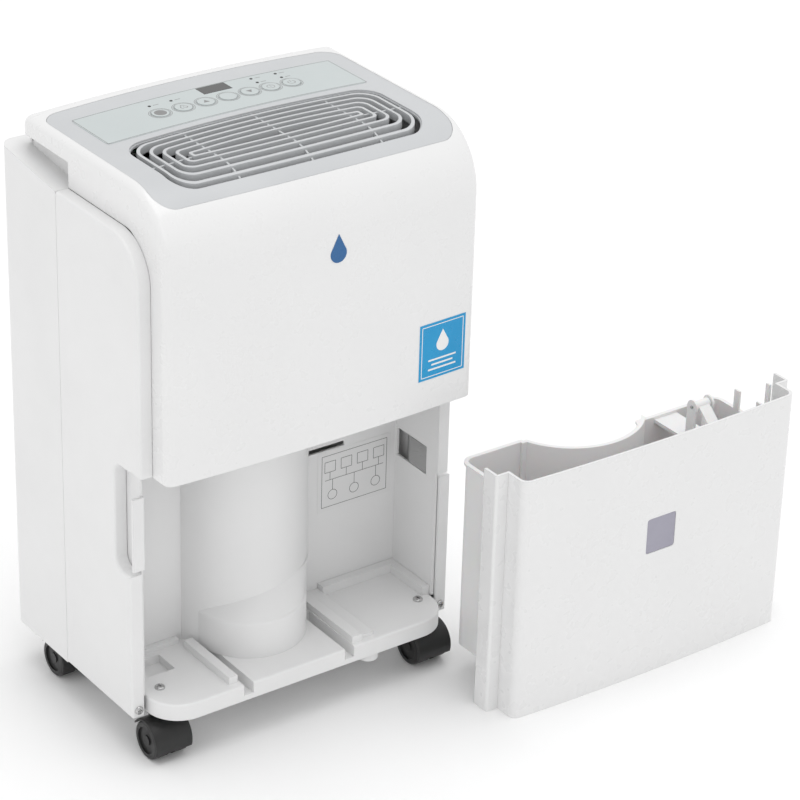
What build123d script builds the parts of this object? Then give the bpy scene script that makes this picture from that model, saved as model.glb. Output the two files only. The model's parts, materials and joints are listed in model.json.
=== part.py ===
from build123d import *
import os
from math import cos, radians, sin, sqrt

# A portable dehumidifier on four casters, with its water bucket standing beside it.
# Millimetres. +Z is up, the front faces -Y, and the origin is on the floor under the
# middle of the machine. Heights are drawn from a datum under the floor, and save() moves
# every piece down by FLOOR_Z. Every piece of the bucket is drawn seated in its bay and
# then moved to where the bucket stands.

os.makedirs("parts", exist_ok=True)

FLOOR_Z = 11.0            # height of the floor above the drawing's datum

# ---- Casing ----------------------------------------------------------------
DECK_Z = 620.0            # top of the machine
FACE_Y = -143.0           # middle of the front face
BEND_R = 72.0             # bend between the front face and the deck
BAND_HALF = 175.0         # half width of the front and deck moulding
BAND_EDGE_R = 9.0         # its rounded long edges
BAND_DEPTH = 48.7         # how deep its side strips are
CROWN = 5.0               # how far face and deck bulge between their edges
WALL = 3.0                # wall of the mouldings
DECK_BACK = 123.5         # rear end of the deck
DECK_CORNER_R = 16.0      # its rear corners
PANEL_LOW = 332.0         # bottom edge of the front face
SIDE_HALF = 189.0         # half width over the side walls
SIDE_INNER = 175.3        # where their edges meet the front moulding
LEDGE_Z = 571.0           # top of the side walls
LEDGE_RISE = 13.0         # how far it climbs along the rear cover
SIDE_FRONT = -112.0       # front edge of the side walls above the bay
BAY_FRONT = -91.0         # front edge of the side walls beside the bay
SIDE_CORNER_R = 46.0
SEAM_Y = 32.0             # joint between side panels and rear cover
REAR_Y = 138.0            # back of the machine
REAR_CORNER_R = 14.0
CASE_LOW = 58.0           # bottom edge of side walls and rear cover
GAP = 0.3                 # assembly gap between mouldings
GRIP_Y = (-100.0, -64.0)  # finger recess in each side wall
GRIP_Z = (217.0, 331.0)
JAMB_TOP = 300.0          # edge of the bay's wall that shows in the recess
POCKET_TOP = 597.0        # lifting pockets under the deck's edges
NECK_HALF = 163.0         # upstand of the rear cover behind the pockets
NECK_BACK = 117.0
NECK_TOP = 607.0
WINDOW_HALF = 150.0       # air intake in the rear cover
WINDOW_Z = (354.0, 552.0)
SIDE_SCREW = (181.2, 66.0)
REAR_SCREW_LOW = 69.0
REAR_SCREWS = ((-160, REAR_SCREW_LOW), (160, REAR_SCREW_LOW), (-165, 556), (165, 556))

# ---- Bucket bay and base tray ----------------------------------------------
BAY_HALF = 172.3
BAY_BACK = -18.0
BAY_TOP = 352.0
SKIN = 2.5                # wall of the bay liner
BULGE = (-14.0, 0.0)      # upright half cylinder that covers the compressor
BULGE_R = 75.0
SKIRT = (-20.0, -37.0)    # its wider foot
SKIRT_R = 59.0
SKIRT_Z = 120.0
SKIRT_TOP = (0.0, -17.0)  # the slope above it leans back to this centre
SKIRT_TOP_R = 54.0
SKIRT_TOP_Z = 147.0
RIM_R = 5.0               # rounded edge under the slope
WALL_SLOT_X = (58.0, 108.0)
WALL_SLOT_Z = (240.5, 246.0)
SWITCH_Y = (-70.5, -24.0) # switch lever in the right wall
SWITCH_Z = (213.0, 243.0)
LEVER_PIN = (175.3, -47.0)
TRAY_LOW = 60.0
TRAY_TOP = 78.0
PLINTH_TOP = 88.0
RIB_TOP = 86.0
TRAY_FRONT = -126.0
TRAY_BACK = 133.0
TRAY_HALF = 171.5
TRAY_CORNER_R = 36.0
TRAY_SCREWS = ((-153.0, -84.0), (155.0, -88.0))

# ---- Casters and foot ------------------------------------------------------
CASTER_X = 157.0
STEM_Y = (-82.0, 98.0)
TRAIL = 13.0              # wheel axle ahead of the swivel axis
WHEEL_R = 20.0
WHEEL_W = 16.0
AXLE_Z = FLOOR_Z + WHEEL_R
WEB_HALF = 3.2
STEM_R = 5.5
AXLE_R = 3.0
FIT = 0.05                # radial running clearance
FOOT = (77.0, -110.0)
FOOT_R = 11.0
FOOT_LOW = 48.0

# ---- Deck ------------------------------------------------------------------
INSET_HALF = 166.0
INSET_FRONT = -115.0
INSET_BACK = 100.0
INSET_T = 1.8
INSET_SUNK = 0.25
VENT_HALF = 140.0
VENT_FRONT = -104.0
VENT_BACK = -3.0
LOOPS = 5
LOOP_START = 5.5
LOOP_PITCH = 9.9
BLADE_W = 2.8
VENT_RIBS_X = (-74.0, 5.0, 84.0)
OVERLAY_HALF = 146.0
OVERLAY_Y = (8.0, 76.0)
KEY_Y = 41.0
KEYS = {"pump": -69.0, "fan": -43.5, "up": -18.5, "mode": 6.5, "down": 31.0, "timer": 55.0, "power": 79.0}
KEY_R = 8.6
KEY_HOLE_R = 9.0
KEY_PROUD = 0.8
KEY_STEM_LOW = 604.6
LED_XY = ((-69, 61), (-45, 61), (50, 57), (50, 68), (78, 57), (78, 68))
LED_R = 1.5
DISPLAY_X = (-10.0, 22.0)
DISPLAY_Y = (57.0, 74.0)
BOARD_Z = 600.0
SWITCH_TOP = 604.0

# ---- Air path and refrigerant circuit --------------------------------------
FAN_Z = 463.0
FAN_R = 84.0
FAN_Y = (-60.0, -14.0)
BLADES = 26
SCROLL_R = 104.0
SCROLL_Y = (-74.0, 6.0)
SCROLL_TOP = 592.0
SHAFT_R = 4.0
COIL_HALF = 138.0
COIL_Z = (354.0, 556.0)
CONDENSER_Y = (60.0, 86.0)
EVAPORATOR_Y = (92.0, 115.0)
PAN_Z = (336.0, 350.0)
PAN_Y = (50.0, 119.0)
SPOUT_X = (100.0, 118.0)
DRAIN_X = -118.0
DRAIN_Z = 343.0
DRAIN_R = 7.0
DRAIN_END = 152.0
FILTER_Y = (124.5, 129.5)
FILTER_Z = (355.0, 566.0)
COMPRESSOR = (-14.0, 12.0)
COMPRESSOR_R = 54.0

# ---- Bucket, drawn seated --------------------------------------------------
BUCKET_TOP = 329.0
TUB_HALF = 167.0
TUB_FRONT = -132.5
TUB_BACK = -27.0
TUB_LOW = 91.0
TUB_STEP = 153.0          # underside of the tub over the bulge's foot
TUB_TOP = 302.0           # rim on the left and round the bulge
TUB_TOP_RIGHT = 280.0     # rim of the right compartment
TUB_SPLIT = 46.0          # where the rim steps down
CATCH_TOP = 329.0         # hook on the right wall
TUB_WALL = 2.4
BULGE_CLEAR = 4.5
VIEW_X = (-18.0, 19.0)    # level window in the front skin
VIEW_Z = (202.0, 242.0)
PIVOT = (-82.0, 314.0)    # float hinge, along X: (y, z)
FLOAT_X = (80.0, 114.0)
EAR_X = (85.0, 106.5)
EAR_T = 2.5
FLOAT_TOP = 296.0
BUCKET_REST = (340.0, -102.0, FLOOR_Z - CASE_LOW)   # from seated to where it stands

BEND_Y = FACE_Y + BEND_R
BEND_Z = DECK_Z - BEND_R
CROWN_R = (BAND_HALF ** 2 + CROWN ** 2) / (2 * CROWN)


# ---- Helpers ---------------------------------------------------------------
def save(name, *shapes):
    """Writes one sub-part, made of one or more separate solids."""
    solids = [Pos(0, 0, -FLOOR_Z) * solid for shape in shapes for solid in shape.solids()]
    shape = solids[0] if len(solids) == 1 else Compound(children=solids)
    shape.label = name
    export_step(shape, f"parts/{name}.step")


def span(x, y, z):
    """A box between two X, two Y and two Z values."""
    size = (x[1] - x[0], y[1] - y[0], z[1] - z[0])
    centre = ((x[0] + x[1]) / 2, (y[0] + y[1]) / 2, (z[0] + z[1]) / 2)
    return Pos(*centre) * Box(*size)


def rod(start, direction, radius, length):
    """A round bar from a point along a direction."""
    return extrude(Plane(start, z_dir=direction) * Circle(radius), amount=length)


def pipe(start, direction, radius, bore, length):
    return rod(start, direction, radius, length) - rod(start, direction, bore, length)


def both_sides(shape):
    """A piece and its mirror image across the machine."""
    return [shape, mirror(shape, about=Plane.YZ)]


def on_x(x, outline):
    """Places an outline of (y, z) points at one X."""
    return Plane((x, 0, 0), x_dir=(0, 1, 0), z_dir=(1, 0, 0)) * outline


def on_y(y, outline):
    """Places an outline of (x, z) points at one Y, so that it extrudes forwards."""
    return Plane((0, y, 0), x_dir=(1, 0, 0), z_dir=(0, -1, 0)) * outline


def rectangle(x, y, radius=0.0):
    """A rectangle between two X and two Y values, with rounded corners if wanted."""
    width = x[1] - x[0]
    height = y[1] - y[0]
    shape = RectangleRounded(width, height, radius) if radius else Rectangle(width, height)
    return Pos((x[0] + x[1]) / 2, (y[0] + y[1]) / 2) * shape


def round_rear(shape, radius):
    """Rounds the two rearmost upright edges."""
    return fillet(shape.edges().filter_by(Axis.Z).sort_by(Axis.Y)[-2:], radius)


def prism(outline, low, high):
    """A plan outline raised between two heights."""
    return extrude(Pos(0, 0, low) * outline, amount=high - low)


# ---- The crowned surface of face and deck ----------------------------------
def crown_drop(x):
    return CROWN_R - sqrt(CROWN_R ** 2 - x ** 2)


def surface_z(x):
    return DECK_Z - crown_drop(x)


def layer(half, near, far):
    """Cross-section of a layer of the crowned surface between two depths."""
    drop = crown_drop(half)
    return make_face([
        ThreePointArc((-half, drop + near), (0, near), (half, drop + near)),
        Line((half, drop + near), (half, drop + far)),
        ThreePointArc((half, drop + far), (0, far), (-half, drop + far)),
        Line((-half, drop + far), (-half, drop + near)),
    ])


def channel(inset, depth):
    """Cross-section of the front moulding, inset from its outside; y runs into it."""
    half = BAND_HALF - inset
    drop = crown_drop(half)
    face = make_face([
        ThreePointArc((-half, inset + drop), (0, inset), (half, inset + drop)),
        Line((half, inset + drop), (half, depth)),
        Line((half, depth), (-half, depth)),
        Line((-half, depth), (-half, inset + drop)),
    ])
    front_corners = face.vertices().sort_by(Axis.Y)[:2]
    return fillet(front_corners, BAND_EDGE_R - inset * 0.5)


def follow(section, low, back):
    """A section carried up the front face, round the bend and back along the deck."""
    upright = Plane((0, FACE_Y, low), x_dir=(1, 0, 0), z_dir=(0, 0, 1))
    turn = Plane((0, FACE_Y, BEND_Z), x_dir=(1, 0, 0), z_dir=(0, 0, 1))
    level = Plane((0, BEND_Y, DECK_Z), x_dir=(1, 0, 0), z_dir=(0, 1, 0))
    front = extrude(upright * section, amount=BEND_Z - low)
    bend = revolve(turn * section, Axis((0, BEND_Y, BEND_Z), (-1, 0, 0)), revolution_arc=90)
    deck = extrude(level * section, amount=back - BEND_Y)
    return front + bend + deck


def deck_layer(near, far):
    """The bend and the deck only, as a layer between two depths."""
    return follow(layer(INSET_HALF + 3, near, far), BEND_Z - 10, DECK_BACK - 5)


def soft_outline(half, front, back, radius, bow_front=0.0, bow_back=0.0):
    """A plan outline with rounded corners, whose front and back edges bow outwards."""
    face = make_face([
        ThreePointArc((-half, front), (0, front - bow_front), (half, front)),
        Line((half, front), (half, back)),
        ThreePointArc((half, back), (0, back + bow_back), (-half, back)),
        Line((-half, back), (-half, front)),
    ])
    return fillet(face.vertices(), radius)


def inset_outline(grow):
    return soft_outline(INSET_HALF + grow, INSET_FRONT - grow, INSET_BACK + grow, 20 + grow, 5, 2)


def vent_outline(shrink):
    radius = max(1.8, 24 - 0.48 * shrink)
    return soft_outline(VENT_HALF - shrink, VENT_FRONT + shrink, VENT_BACK - shrink, radius, 4, 2.5)


def through_deck(outline):
    return prism(outline, BEND_Z - 8, DECK_Z + 10)


# ---- Casing ----------------------------------------------------------------
def front_casing():
    """Front face and deck in one moulding, with its side strips, rear end and bottom edge."""
    outside = follow(channel(0, BAND_DEPTH), PANEL_LOW, DECK_BACK)
    inside = follow(channel(WALL, BAND_DEPTH + 1), PANEL_LOW + WALL, DECK_BACK - WALL)
    casing = round_rear(outside, DECK_CORNER_R) - round_rear(inside, DECK_CORNER_R - WALL)
    casing -= span((-SIDE_HALF, SIDE_HALF), (NECK_BACK, DECK_BACK + 1), (LEDGE_Z - 1, LEDGE_Z + LEDGE_RISE))
    pocket = span((NECK_HALF, SIDE_HALF), (SEAM_Y, DECK_BACK + 1), (LEDGE_Z - 1, POCKET_TOP))
    for cut in both_sides(pocket):
        casing -= cut
    casing -= deck_layer(-2, INSET_T + INSET_SUNK) & through_deck(inset_outline(0.2))
    casing -= deck_layer(-2, WALL + 4) & through_deck(inset_outline(-4.5))
    return casing


def side_panel():
    """Right side wall: a skin with an edge all round that reaches in to the front moulding."""
    outline = make_face(Polyline(
        (SEAM_Y, CASE_LOW), (SEAM_Y, LEDGE_Z), (SIDE_FRONT, LEDGE_Z), (SIDE_FRONT, PANEL_LOW + 0.5),
        (BAY_FRONT, PANEL_LOW + 0.5), (BAY_FRONT, CASE_LOW), close=True))
    top_front = outline.vertices().sort_by(Axis.Y)[-2:].sort_by(Axis.X)[0]
    outline = fillet(top_front, SIDE_CORNER_R)
    outline -= rectangle(GRIP_Y, GRIP_Z, 12)
    body = extrude(on_x(SIDE_INNER, outline), amount=SIDE_HALF - SIDE_INNER)
    outer_edges = body.faces().sort_by(Axis.X)[-1].outer_wire().edges()
    body = fillet(outer_edges.filter_by(lambda e: e.center().Y < SEAM_Y - 0.5), 3.0)
    hollow = offset(outline, -WALL, kind=Kind.INTERSECTION)
    body -= extrude(on_x(SIDE_INNER - 1, hollow), amount=SIDE_HALF - SIDE_INNER + 1 - WALL)
    x, z = SIDE_SCREW
    return body - rod((x, BAY_FRONT - 1, z), (0, 1, 0), 1.8, WALL + 2)


def above_ledge(depth):
    """Everything above the rear cover's climbing ledge, or above a plane at a depth under it."""
    low = LEDGE_Z - depth
    wedge = make_face(Polyline((SEAM_Y, low), (REAR_Y + 1, low + LEDGE_RISE), (REAR_Y + 1, DECK_Z),
                               (SEAM_Y - 2, DECK_Z), (SEAM_Y - 2, low), close=True))
    return extrude(on_x(-SIDE_HALF - 1, wedge), amount=2 * SIDE_HALF + 2)


def rear_cover():
    """Back wall with its sides, top ledge, bottom edge and the upstand under the deck."""
    front = SEAM_Y + GAP
    ledge_top = LEDGE_Z + LEDGE_RISE
    shell = span((-SIDE_HALF, SIDE_HALF), (front, REAR_Y), (CASE_LOW, ledge_top))
    shell = round_rear(shell, REAR_CORNER_R) - above_ledge(0)
    inner = SIDE_HALF - WALL
    cavity = span((-inner, inner), (front - 1, REAR_Y - WALL), (CASE_LOW + WALL, ledge_top))
    shell -= round_rear(cavity, REAR_CORNER_R - WALL) - above_ledge(WALL)
    shell += span((-NECK_HALF, NECK_HALF), (front, NECK_BACK), (LEDGE_Z - WALL, NECK_TOP))
    neck = NECK_HALF - SKIN
    shell -= span((-neck, neck), (front - 1, NECK_BACK - SKIN), (LEDGE_Z - 2 * WALL, NECK_TOP + 1))
    shell -= span((-SIDE_INNER, SIDE_INNER), (front - 1, TRAY_BACK + GAP), (CASE_LOW - 1, CASE_LOW + WALL))
    shell -= span((-WINDOW_HALF, WINDOW_HALF), (FILTER_Y[0] - 1, FILTER_Y[1] + 1), (LEDGE_Z, ledge_top))
    window = rectangle((-WINDOW_HALF, WINDOW_HALF), WINDOW_Z, 12)
    shell -= extrude(on_y(REAR_Y + 1, window), amount=WALL + 2)
    slots = Sketch() + [Pos(x, z) * SlotOverall(78, 5) for x in (-92, 0, 92) for z in range(140, 245, 13)]
    shell -= extrude(on_y(REAR_Y + 1, slots), amount=WALL + 2)
    shell -= rod((DRAIN_X, REAR_Y + 1, DRAIN_Z), (0, -1, 0), DRAIN_R + 0.5, WALL + 2)
    shell -= rod((150, REAR_Y + 1, 96), (0, -1, 0), 7, WALL + 2)
    for x, z in REAR_SCREWS:
        shell -= rod((x, REAR_Y + 1, z), (0, -1, 0), 1.8, WALL + 2)
    return shell


def intake_grille():
    """Louvred insert in the rear window."""
    x = (-WINDOW_HALF + GAP, WINDOW_HALF - GAP)
    z = (WINDOW_Z[0] + GAP, WINDOW_Z[1] - GAP)
    panel = rectangle(x, z, 12 - GAP)
    columns = (-110.0, -36.8, 36.8, 110.0)
    heights = [WINDOW_Z[0] + 12 + 9.15 * row for row in range(20)]
    panel -= Sketch() + [Pos(cx, cz) * SlotOverall(66, 5.4) for cx in columns for cz in heights]
    return extrude(on_y(REAR_Y + 0.6, panel), amount=WALL + 0.6)


def screw(at, direction, radius, height, length):
    """Pan head with a cross recess, on a plain shank."""
    frame = Plane(at, z_dir=direction)
    head = extrude(frame * Circle(radius), amount=height)
    top = head.faces().sort_by(Axis(at, direction))[-1]
    head = fillet(top.edges(), height * 0.7)
    cross = Rectangle(radius * 1.1, radius * 0.26) + Rectangle(radius * 0.26, radius * 1.1)
    head -= extrude(frame.offset(height * 0.45) * cross, amount=height)
    return head + extrude(frame * Circle(1.75), amount=-length)


# ---- Bay liner -------------------------------------------------------------
def skirt_outline(grow):
    """The bulge's foot in plan: a round nose drawn out to the left along the rear wall."""
    nose = Pos(*SKIRT) * Circle(SKIRT_R + grow)
    base = Line((-88 - grow, BAY_BACK + SKIN), (48 + grow, BAY_BACK + SKIN))
    return make_hull([*nose.edges(), base])


def skirt_nose():
    """The foot's round nose, with a rounded rim and a top that slopes up and back."""
    nose = prism(Pos(*SKIRT) * Circle(SKIRT_R), TRAY_TOP, SKIRT_Z - RIM_R)
    rings = []
    for angle in (0, 20, 40, 60):
        height = SKIRT_Z - RIM_R + RIM_R * sin(radians(angle))
        rings.append(Pos(*SKIRT, height) * Circle(SKIRT_R - RIM_R * (1 - cos(radians(angle)))))
    rings.append(Pos(*SKIRT_TOP, SKIRT_TOP_Z) * Circle(SKIRT_TOP_R))
    return nose + loft(rings, ruled=True)


def bay_liner():
    """Walls and ceiling of the bucket bay, with the bulge over the compressor."""
    outer = BAY_HALF + SKIN
    back = (BAY_BACK, BAY_BACK + SKIN)
    liner = span((-outer, outer), back, (TRAY_TOP, BAY_TOP + SKIN))
    liner += span((-outer, outer), (-90, back[1]), (BAY_TOP, BAY_TOP + SKIN))
    for wall in both_sides(span((BAY_HALF, outer), (-88, back[1]), (TRAY_TOP, BAY_TOP + SKIN))):
        liner += wall
    ahead = span((-outer, outer), (-200, back[1]), (0, 400))
    bulge = prism(Pos(*BULGE) * Circle(BULGE_R), TRAY_TOP, BAY_TOP + SKIN) & ahead
    liner += bulge + (skirt_nose() & ahead)
    hollow = prism(Pos(*BULGE) * Circle(BULGE_R - SKIN), TRAY_TOP - 1, BAY_TOP)
    hollow += prism(Pos(*SKIRT) * Circle(SKIRT_R - SKIN), TRAY_TOP - 1, SKIRT_Z - SKIN)
    liner -= hollow & span((-outer, outer), (-200, 20), (0, 400))
    jamb = span((BAY_HALF, SIDE_HALF - 4.5), (BAY_FRONT, BAY_FRONT + 3), (GRIP_Z[0] + 4, JAMB_TOP))
    for strip in both_sides(jamb):
        liner += strip
    liner -= span(WALL_SLOT_X, (BAY_BACK - 1, back[1] + 1), WALL_SLOT_Z)
    spout = (SPOUT_X[0] - 0.5, SPOUT_X[1] + 0.5)
    liner -= span(spout, (BAY_BACK - 1, back[1] + 1), (PAN_Z[0] - 0.5, PAN_Z[1] + 0.5))
    opening = ((SWITCH_Y[0] - 0.8, -21), (SWITCH_Z[0] - 0.8, SWITCH_Z[1] + 0.8))
    return liner - span((BAY_HALF - 1, outer + 1), *opening)


# ---- Base tray -------------------------------------------------------------
def base_tray():
    """Floor of the machine, with the ribs, grooves and plinths that guide the bucket."""
    plan = rectangle((-TRAY_HALF, TRAY_HALF), (TRAY_FRONT, TRAY_BACK))
    plan = fillet(plan.vertices().sort_by(Axis.Y)[:2], TRAY_CORNER_R)
    plan += rectangle((-BAY_HALF - SKIN, BAY_HALF + SKIN), (-84, TRAY_BACK))
    tray = prism(plan, TRAY_LOW, TRAY_TOP)
    top_edges = tray.edges().filter_by(lambda e: abs(e.center().Z - TRAY_TOP) < 0.1 and e.center().Y < -95)
    tray = fillet(top_edges, 2.0)
    ribs = span((-94, -84), (-117, -34), (TRAY_TOP, RIB_TOP))
    ribs += span((50, 62), (-121, BAY_BACK), (TRAY_TOP, RIB_TOP))
    ribs += span((62, 78), (-118, BAY_BACK), (TRAY_TOP, RIB_TOP - 4))
    tray += ribs - prism(Pos(*BULGE) * Circle(BULGE_R + GAP), TRAY_TOP, RIB_TOP + 1)
    tray += span((163, BAY_HALF - GAP), (-84, BAY_BACK - GAP), (TRAY_TOP, PLINTH_TOP))
    tray += span((78, BAY_HALF - GAP), (-28, BAY_BACK - GAP), (TRAY_TOP, PLINTH_TOP))
    tray += span((-BAY_HALF + GAP, -94), (-25, BAY_BACK - GAP), (TRAY_TOP, TRAY_TOP + 5))
    for groove in ((-82, -71), (38, 49)):
        tray -= span(groove, (TRAY_FRONT - 1, -45), (66, TRAY_TOP + 1))
    tray -= span((-152, -122), (-62, -32), (69, TRAY_TOP + 1))
    for x in ((-166, -158), (-118, -98), (-66, 33), (54, 112), (118, 166)):
        for y in ((-88, -66), (-10, 40), (46, 84), (90, 124)):
            pocket = span(x, y, (TRAY_LOW - 1, 74))
            for sx in (-CASTER_X, CASTER_X):
                for sy in STEM_Y:
                    pocket -= rod((sx, sy, 50), (0, 0, 1), 14, 30)
            tray -= pocket
    for sx in (-CASTER_X, CASTER_X):
        for sy in STEM_Y:
            tray -= rod((sx, sy, TRAY_LOW - 1), (0, 0, 1), 8, 15)
    for x, y in TRAY_SCREWS:
        tray -= rod((x, y, TRAY_TOP - 4), (0, 0, 1), 1.8, 30)
    for x in (-160, 160):
        tray -= rod((x, TRAY_BACK + 1, REAR_SCREW_LOW), (0, -1, 0), 1.8, 5)
    return tray


# ---- Casters ---------------------------------------------------------------
def caster_fork(x, y):
    """Stem, web and hood of one twin-wheel caster; its axle lies ahead of the stem."""
    axle = y - TRAIL
    web = rod((x - WEB_HALF, axle, AXLE_Z), (1, 0, 0), WHEEL_R - 2, 2 * WEB_HALF)
    web += span((x - WEB_HALF, x + WEB_HALF), (axle - 6, y + 8), (AXLE_Z, AXLE_Z + WHEEL_R + 2))
    half = WHEEL_W + WEB_HALF + 1.6
    hood = rod((x - half, axle, AXLE_Z), (1, 0, 0), WHEEL_R + 3, 2 * half)
    hood = fillet(hood.edges().filter_by(GeomType.CIRCLE), 1.5)
    hood -= rod((x - half - 1, axle, AXLE_Z), (1, 0, 0), WHEEL_R + 1, 2 * half + 2)
    hood -= span((x - 30, x + 30), (axle - 40, axle + 40), (-10, AXLE_Z - 7))
    hood -= span((x - 30, x + 30), (axle + 4, axle + 40), (-10, AXLE_Z + 12))
    collar = rod((x, y, AXLE_Z + WHEEL_R + 1.4), (0, 0, 1), 9, TRAY_LOW - 1 - AXLE_Z - WHEEL_R - 1.4)
    stem = rod((x, y, TRAY_LOW - 5), (0, 0, 1), STEM_R - FIT, 18)
    fork = web + hood + collar + stem
    return fork - rod((x - 30, axle, AXLE_Z), (1, 0, 0), AXLE_R + FIT, 60)


def caster_wheels(x, y):
    """Two wheels pressed on one axle."""
    axle = y - TRAIL
    pieces = []
    for side in (-1, 1):
        inner = x + side * (WEB_HALF + 0.4)
        wheel = rod((inner, axle, AXLE_Z), (side, 0, 0), WHEEL_R, WHEEL_W)
        rims = wheel.edges().filter_by(GeomType.CIRCLE)
        wheel = fillet(rims.sort_by(Axis.X)[-1 if side > 0 else 0], 3.0)
        dish = rod((inner + side * (WHEEL_W - 2), axle, AXLE_Z), (side, 0, 0), 14, 5)
        hub = rod((inner + side * (WHEEL_W - 3), axle, AXLE_Z), (side, 0, 0), 5.5, 2.4)
        wheel = wheel - dish + hub
        wheel -= rod((inner - side, axle, AXLE_Z), (side, 0, 0), AXLE_R, WHEEL_W - 1)
        pieces.append(wheel)
    reach = WEB_HALF + 0.4 + WHEEL_W - 2
    pieces.append(rod((x - reach, axle, AXLE_Z), (1, 0, 0), AXLE_R, 2 * reach))
    return pieces


# ---- Deck pieces -----------------------------------------------------------
def deck_panel():
    """Light grey inset of the deck, with the vent and the holes of the controls."""
    panel = deck_layer(INSET_SUNK, INSET_SUNK + INSET_T) & through_deck(inset_outline(0))
    panel -= through_deck(vent_outline(0))
    for x in KEYS.values():
        panel -= rod((x, KEY_Y, 560), (0, 0, 1), KEY_HOLE_R, 80)
    for x, y in LED_XY:
        panel -= rod((x, y, 560), (0, 0, 1), LED_R + 0.15, 80)
    return panel - span(DISPLAY_X, DISPLAY_Y, (560, 640))


def vent_grille():
    """Nested rings and cross ribs of the air outlet, on a flange under the inset."""
    rings = Sketch()
    for turn in range(LOOPS):
        start = LOOP_START + LOOP_PITCH * turn
        rings += vent_outline(start) - vent_outline(start + BLADE_W)
    grille = deck_layer(1.0, 9.0) & through_deck(rings)
    ribs = Sketch() + [rectangle((x - 1, x + 1), (VENT_FRONT - 5, VENT_BACK + 4)) for x in VENT_RIBS_X]
    ribs += rectangle((-VENT_HALF - 2, -VENT_HALF + 48), (-56.5, -54.5))
    ribs += rectangle((VENT_HALF - 48, VENT_HALF + 2), (-56.5, -54.5))
    grille += deck_layer(3.0, 6.5) & through_deck(ribs)
    flange = vent_outline(-5) - vent_outline(1)
    return grille + (deck_layer(INSET_SUNK + INSET_T + 0.05, 4.6) & through_deck(flange))


def control_overlay():
    """Printed film over the controls."""
    film = rectangle((-OVERLAY_HALF, OVERLAY_HALF), OVERLAY_Y, 6)
    overlay = deck_layer(-0.2, INSET_SUNK) & through_deck(film)
    for x in KEYS.values():
        overlay -= rod((x, KEY_Y, 560), (0, 0, 1), KEY_HOLE_R, 80)
    for x, y in LED_XY:
        overlay -= rod((x, y, 560), (0, 0, 1), LED_R + 0.15, 80)
    return overlay - span(DISPLAY_X, DISPLAY_Y, (560, 640))


def key(x):
    """Round key cap on a stem that stops just above its switch."""
    top = surface_z(x) + KEY_PROUD
    cap = rod((x, KEY_Y, top - 4.5), (0, 0, 1), KEY_R, 4.5)
    cap = fillet(cap.edges().sort_by(Axis.Z)[-1], 0.4)
    return cap + rod((x, KEY_Y, KEY_STEM_LOW), (0, 0, 1), 2.5, top - 4 - KEY_STEM_LOW)


def control_board():
    """Circuit board under the keys, with its switches and four stand-offs."""
    board = span((-112, 112), (12, 76), (BOARD_Z - 1.6, BOARD_Z))
    pieces = [board]
    for x in KEYS.values():
        pieces.append(span((x - 3, x + 3), (KEY_Y - 3, KEY_Y + 3), (BOARD_Z, SWITCH_TOP)))
    pieces.append(span((DISPLAY_X[0] - 1, DISPLAY_X[1] + 1), (DISPLAY_Y[0], DISPLAY_Y[1]), (BOARD_Z, 612)))
    for x in (-106, 106):
        for y in (17, 71):
            top = surface_z(x) - INSET_T - INSET_SUNK - GAP
            pieces.append(rod((x, y, BOARD_Z), (0, 0, 1), 3, top - BOARD_Z))
    return pieces


# ---- Air path and refrigerant circuit --------------------------------------
def fan_scroll():
    """Housing of the fan: round below, open to the vent above, with its inlet at the back."""
    outline = Pos(0, FAN_Z) * Circle(SCROLL_R)
    outline += rectangle((-SCROLL_R, SCROLL_R), (FAN_Z, SCROLL_TOP))
    length = SCROLL_Y[1] - SCROLL_Y[0]
    housing = extrude(on_y(SCROLL_Y[1], outline), amount=length)
    inner = Pos(0, FAN_Z) * Circle(SCROLL_R - 2)
    inner += rectangle((-SCROLL_R + 2, SCROLL_R - 2), (FAN_Z, SCROLL_TOP + 1))
    housing -= extrude(on_y(SCROLL_Y[1] - 2, inner), amount=length - 4)
    housing -= rod((0, SCROLL_Y[1] + 1, FAN_Z), (0, -1, 0), 68, 4)
    return housing - rod((0, SCROLL_Y[0] + 3, FAN_Z), (0, -1, 0), 14, 6)


def fan_wheel():
    """Centrifugal wheel: a disc and hub, a ring of blades and a shroud ring."""
    width = FAN_Y[1] - FAN_Y[0]
    disc = rod((0, FAN_Y[0], FAN_Z), (0, 1, 0), FAN_R, 2)
    hub = rod((0, FAN_Y[0], FAN_Z), (0, 1, 0), 13, 24)
    ring = pipe((0, FAN_Y[1] - 2, FAN_Z), (0, 1, 0), FAN_R, FAN_R - 16, 2)
    blade = Pos(FAN_R - 9, 0) * Rot(0, 0, 28) * Rectangle(17, 1.6)
    blades = Sketch() + [Rot(0, 0, 360 / BLADES * i) * blade for i in range(BLADES)]
    vanes = extrude(Plane((0, FAN_Y[1] - 1, FAN_Z), x_dir=(1, 0, 0), z_dir=(0, -1, 0)) * blades,
                    amount=width - 2)
    wheel = disc + hub + ring + vanes
    return wheel - rod((0, FAN_Y[0] - 5, FAN_Z), (0, 1, 0), SHAFT_R, 60)


def fan_motor():
    """Round motor behind the front face, with a bearing bore and three fixing lugs."""
    body = rod((0, SCROLL_Y[0] - 0.2, FAN_Z), (0, -1, 0), 42, 40)
    body = fillet(body.edges().filter_by(GeomType.CIRCLE).sort_by(Axis.Y)[0], 5)
    for turn in range(3):
        angle = radians(90 + 120 * turn)
        body += rod((48 * cos(angle), SCROLL_Y[0] - 0.2, FAN_Z + 48 * sin(angle)), (0, -1, 0), 9, 5)
    return body - rod((0, SCROLL_Y[0] + 1, FAN_Z), (0, -1, 0), SHAFT_R + FIT, 30)


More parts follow.
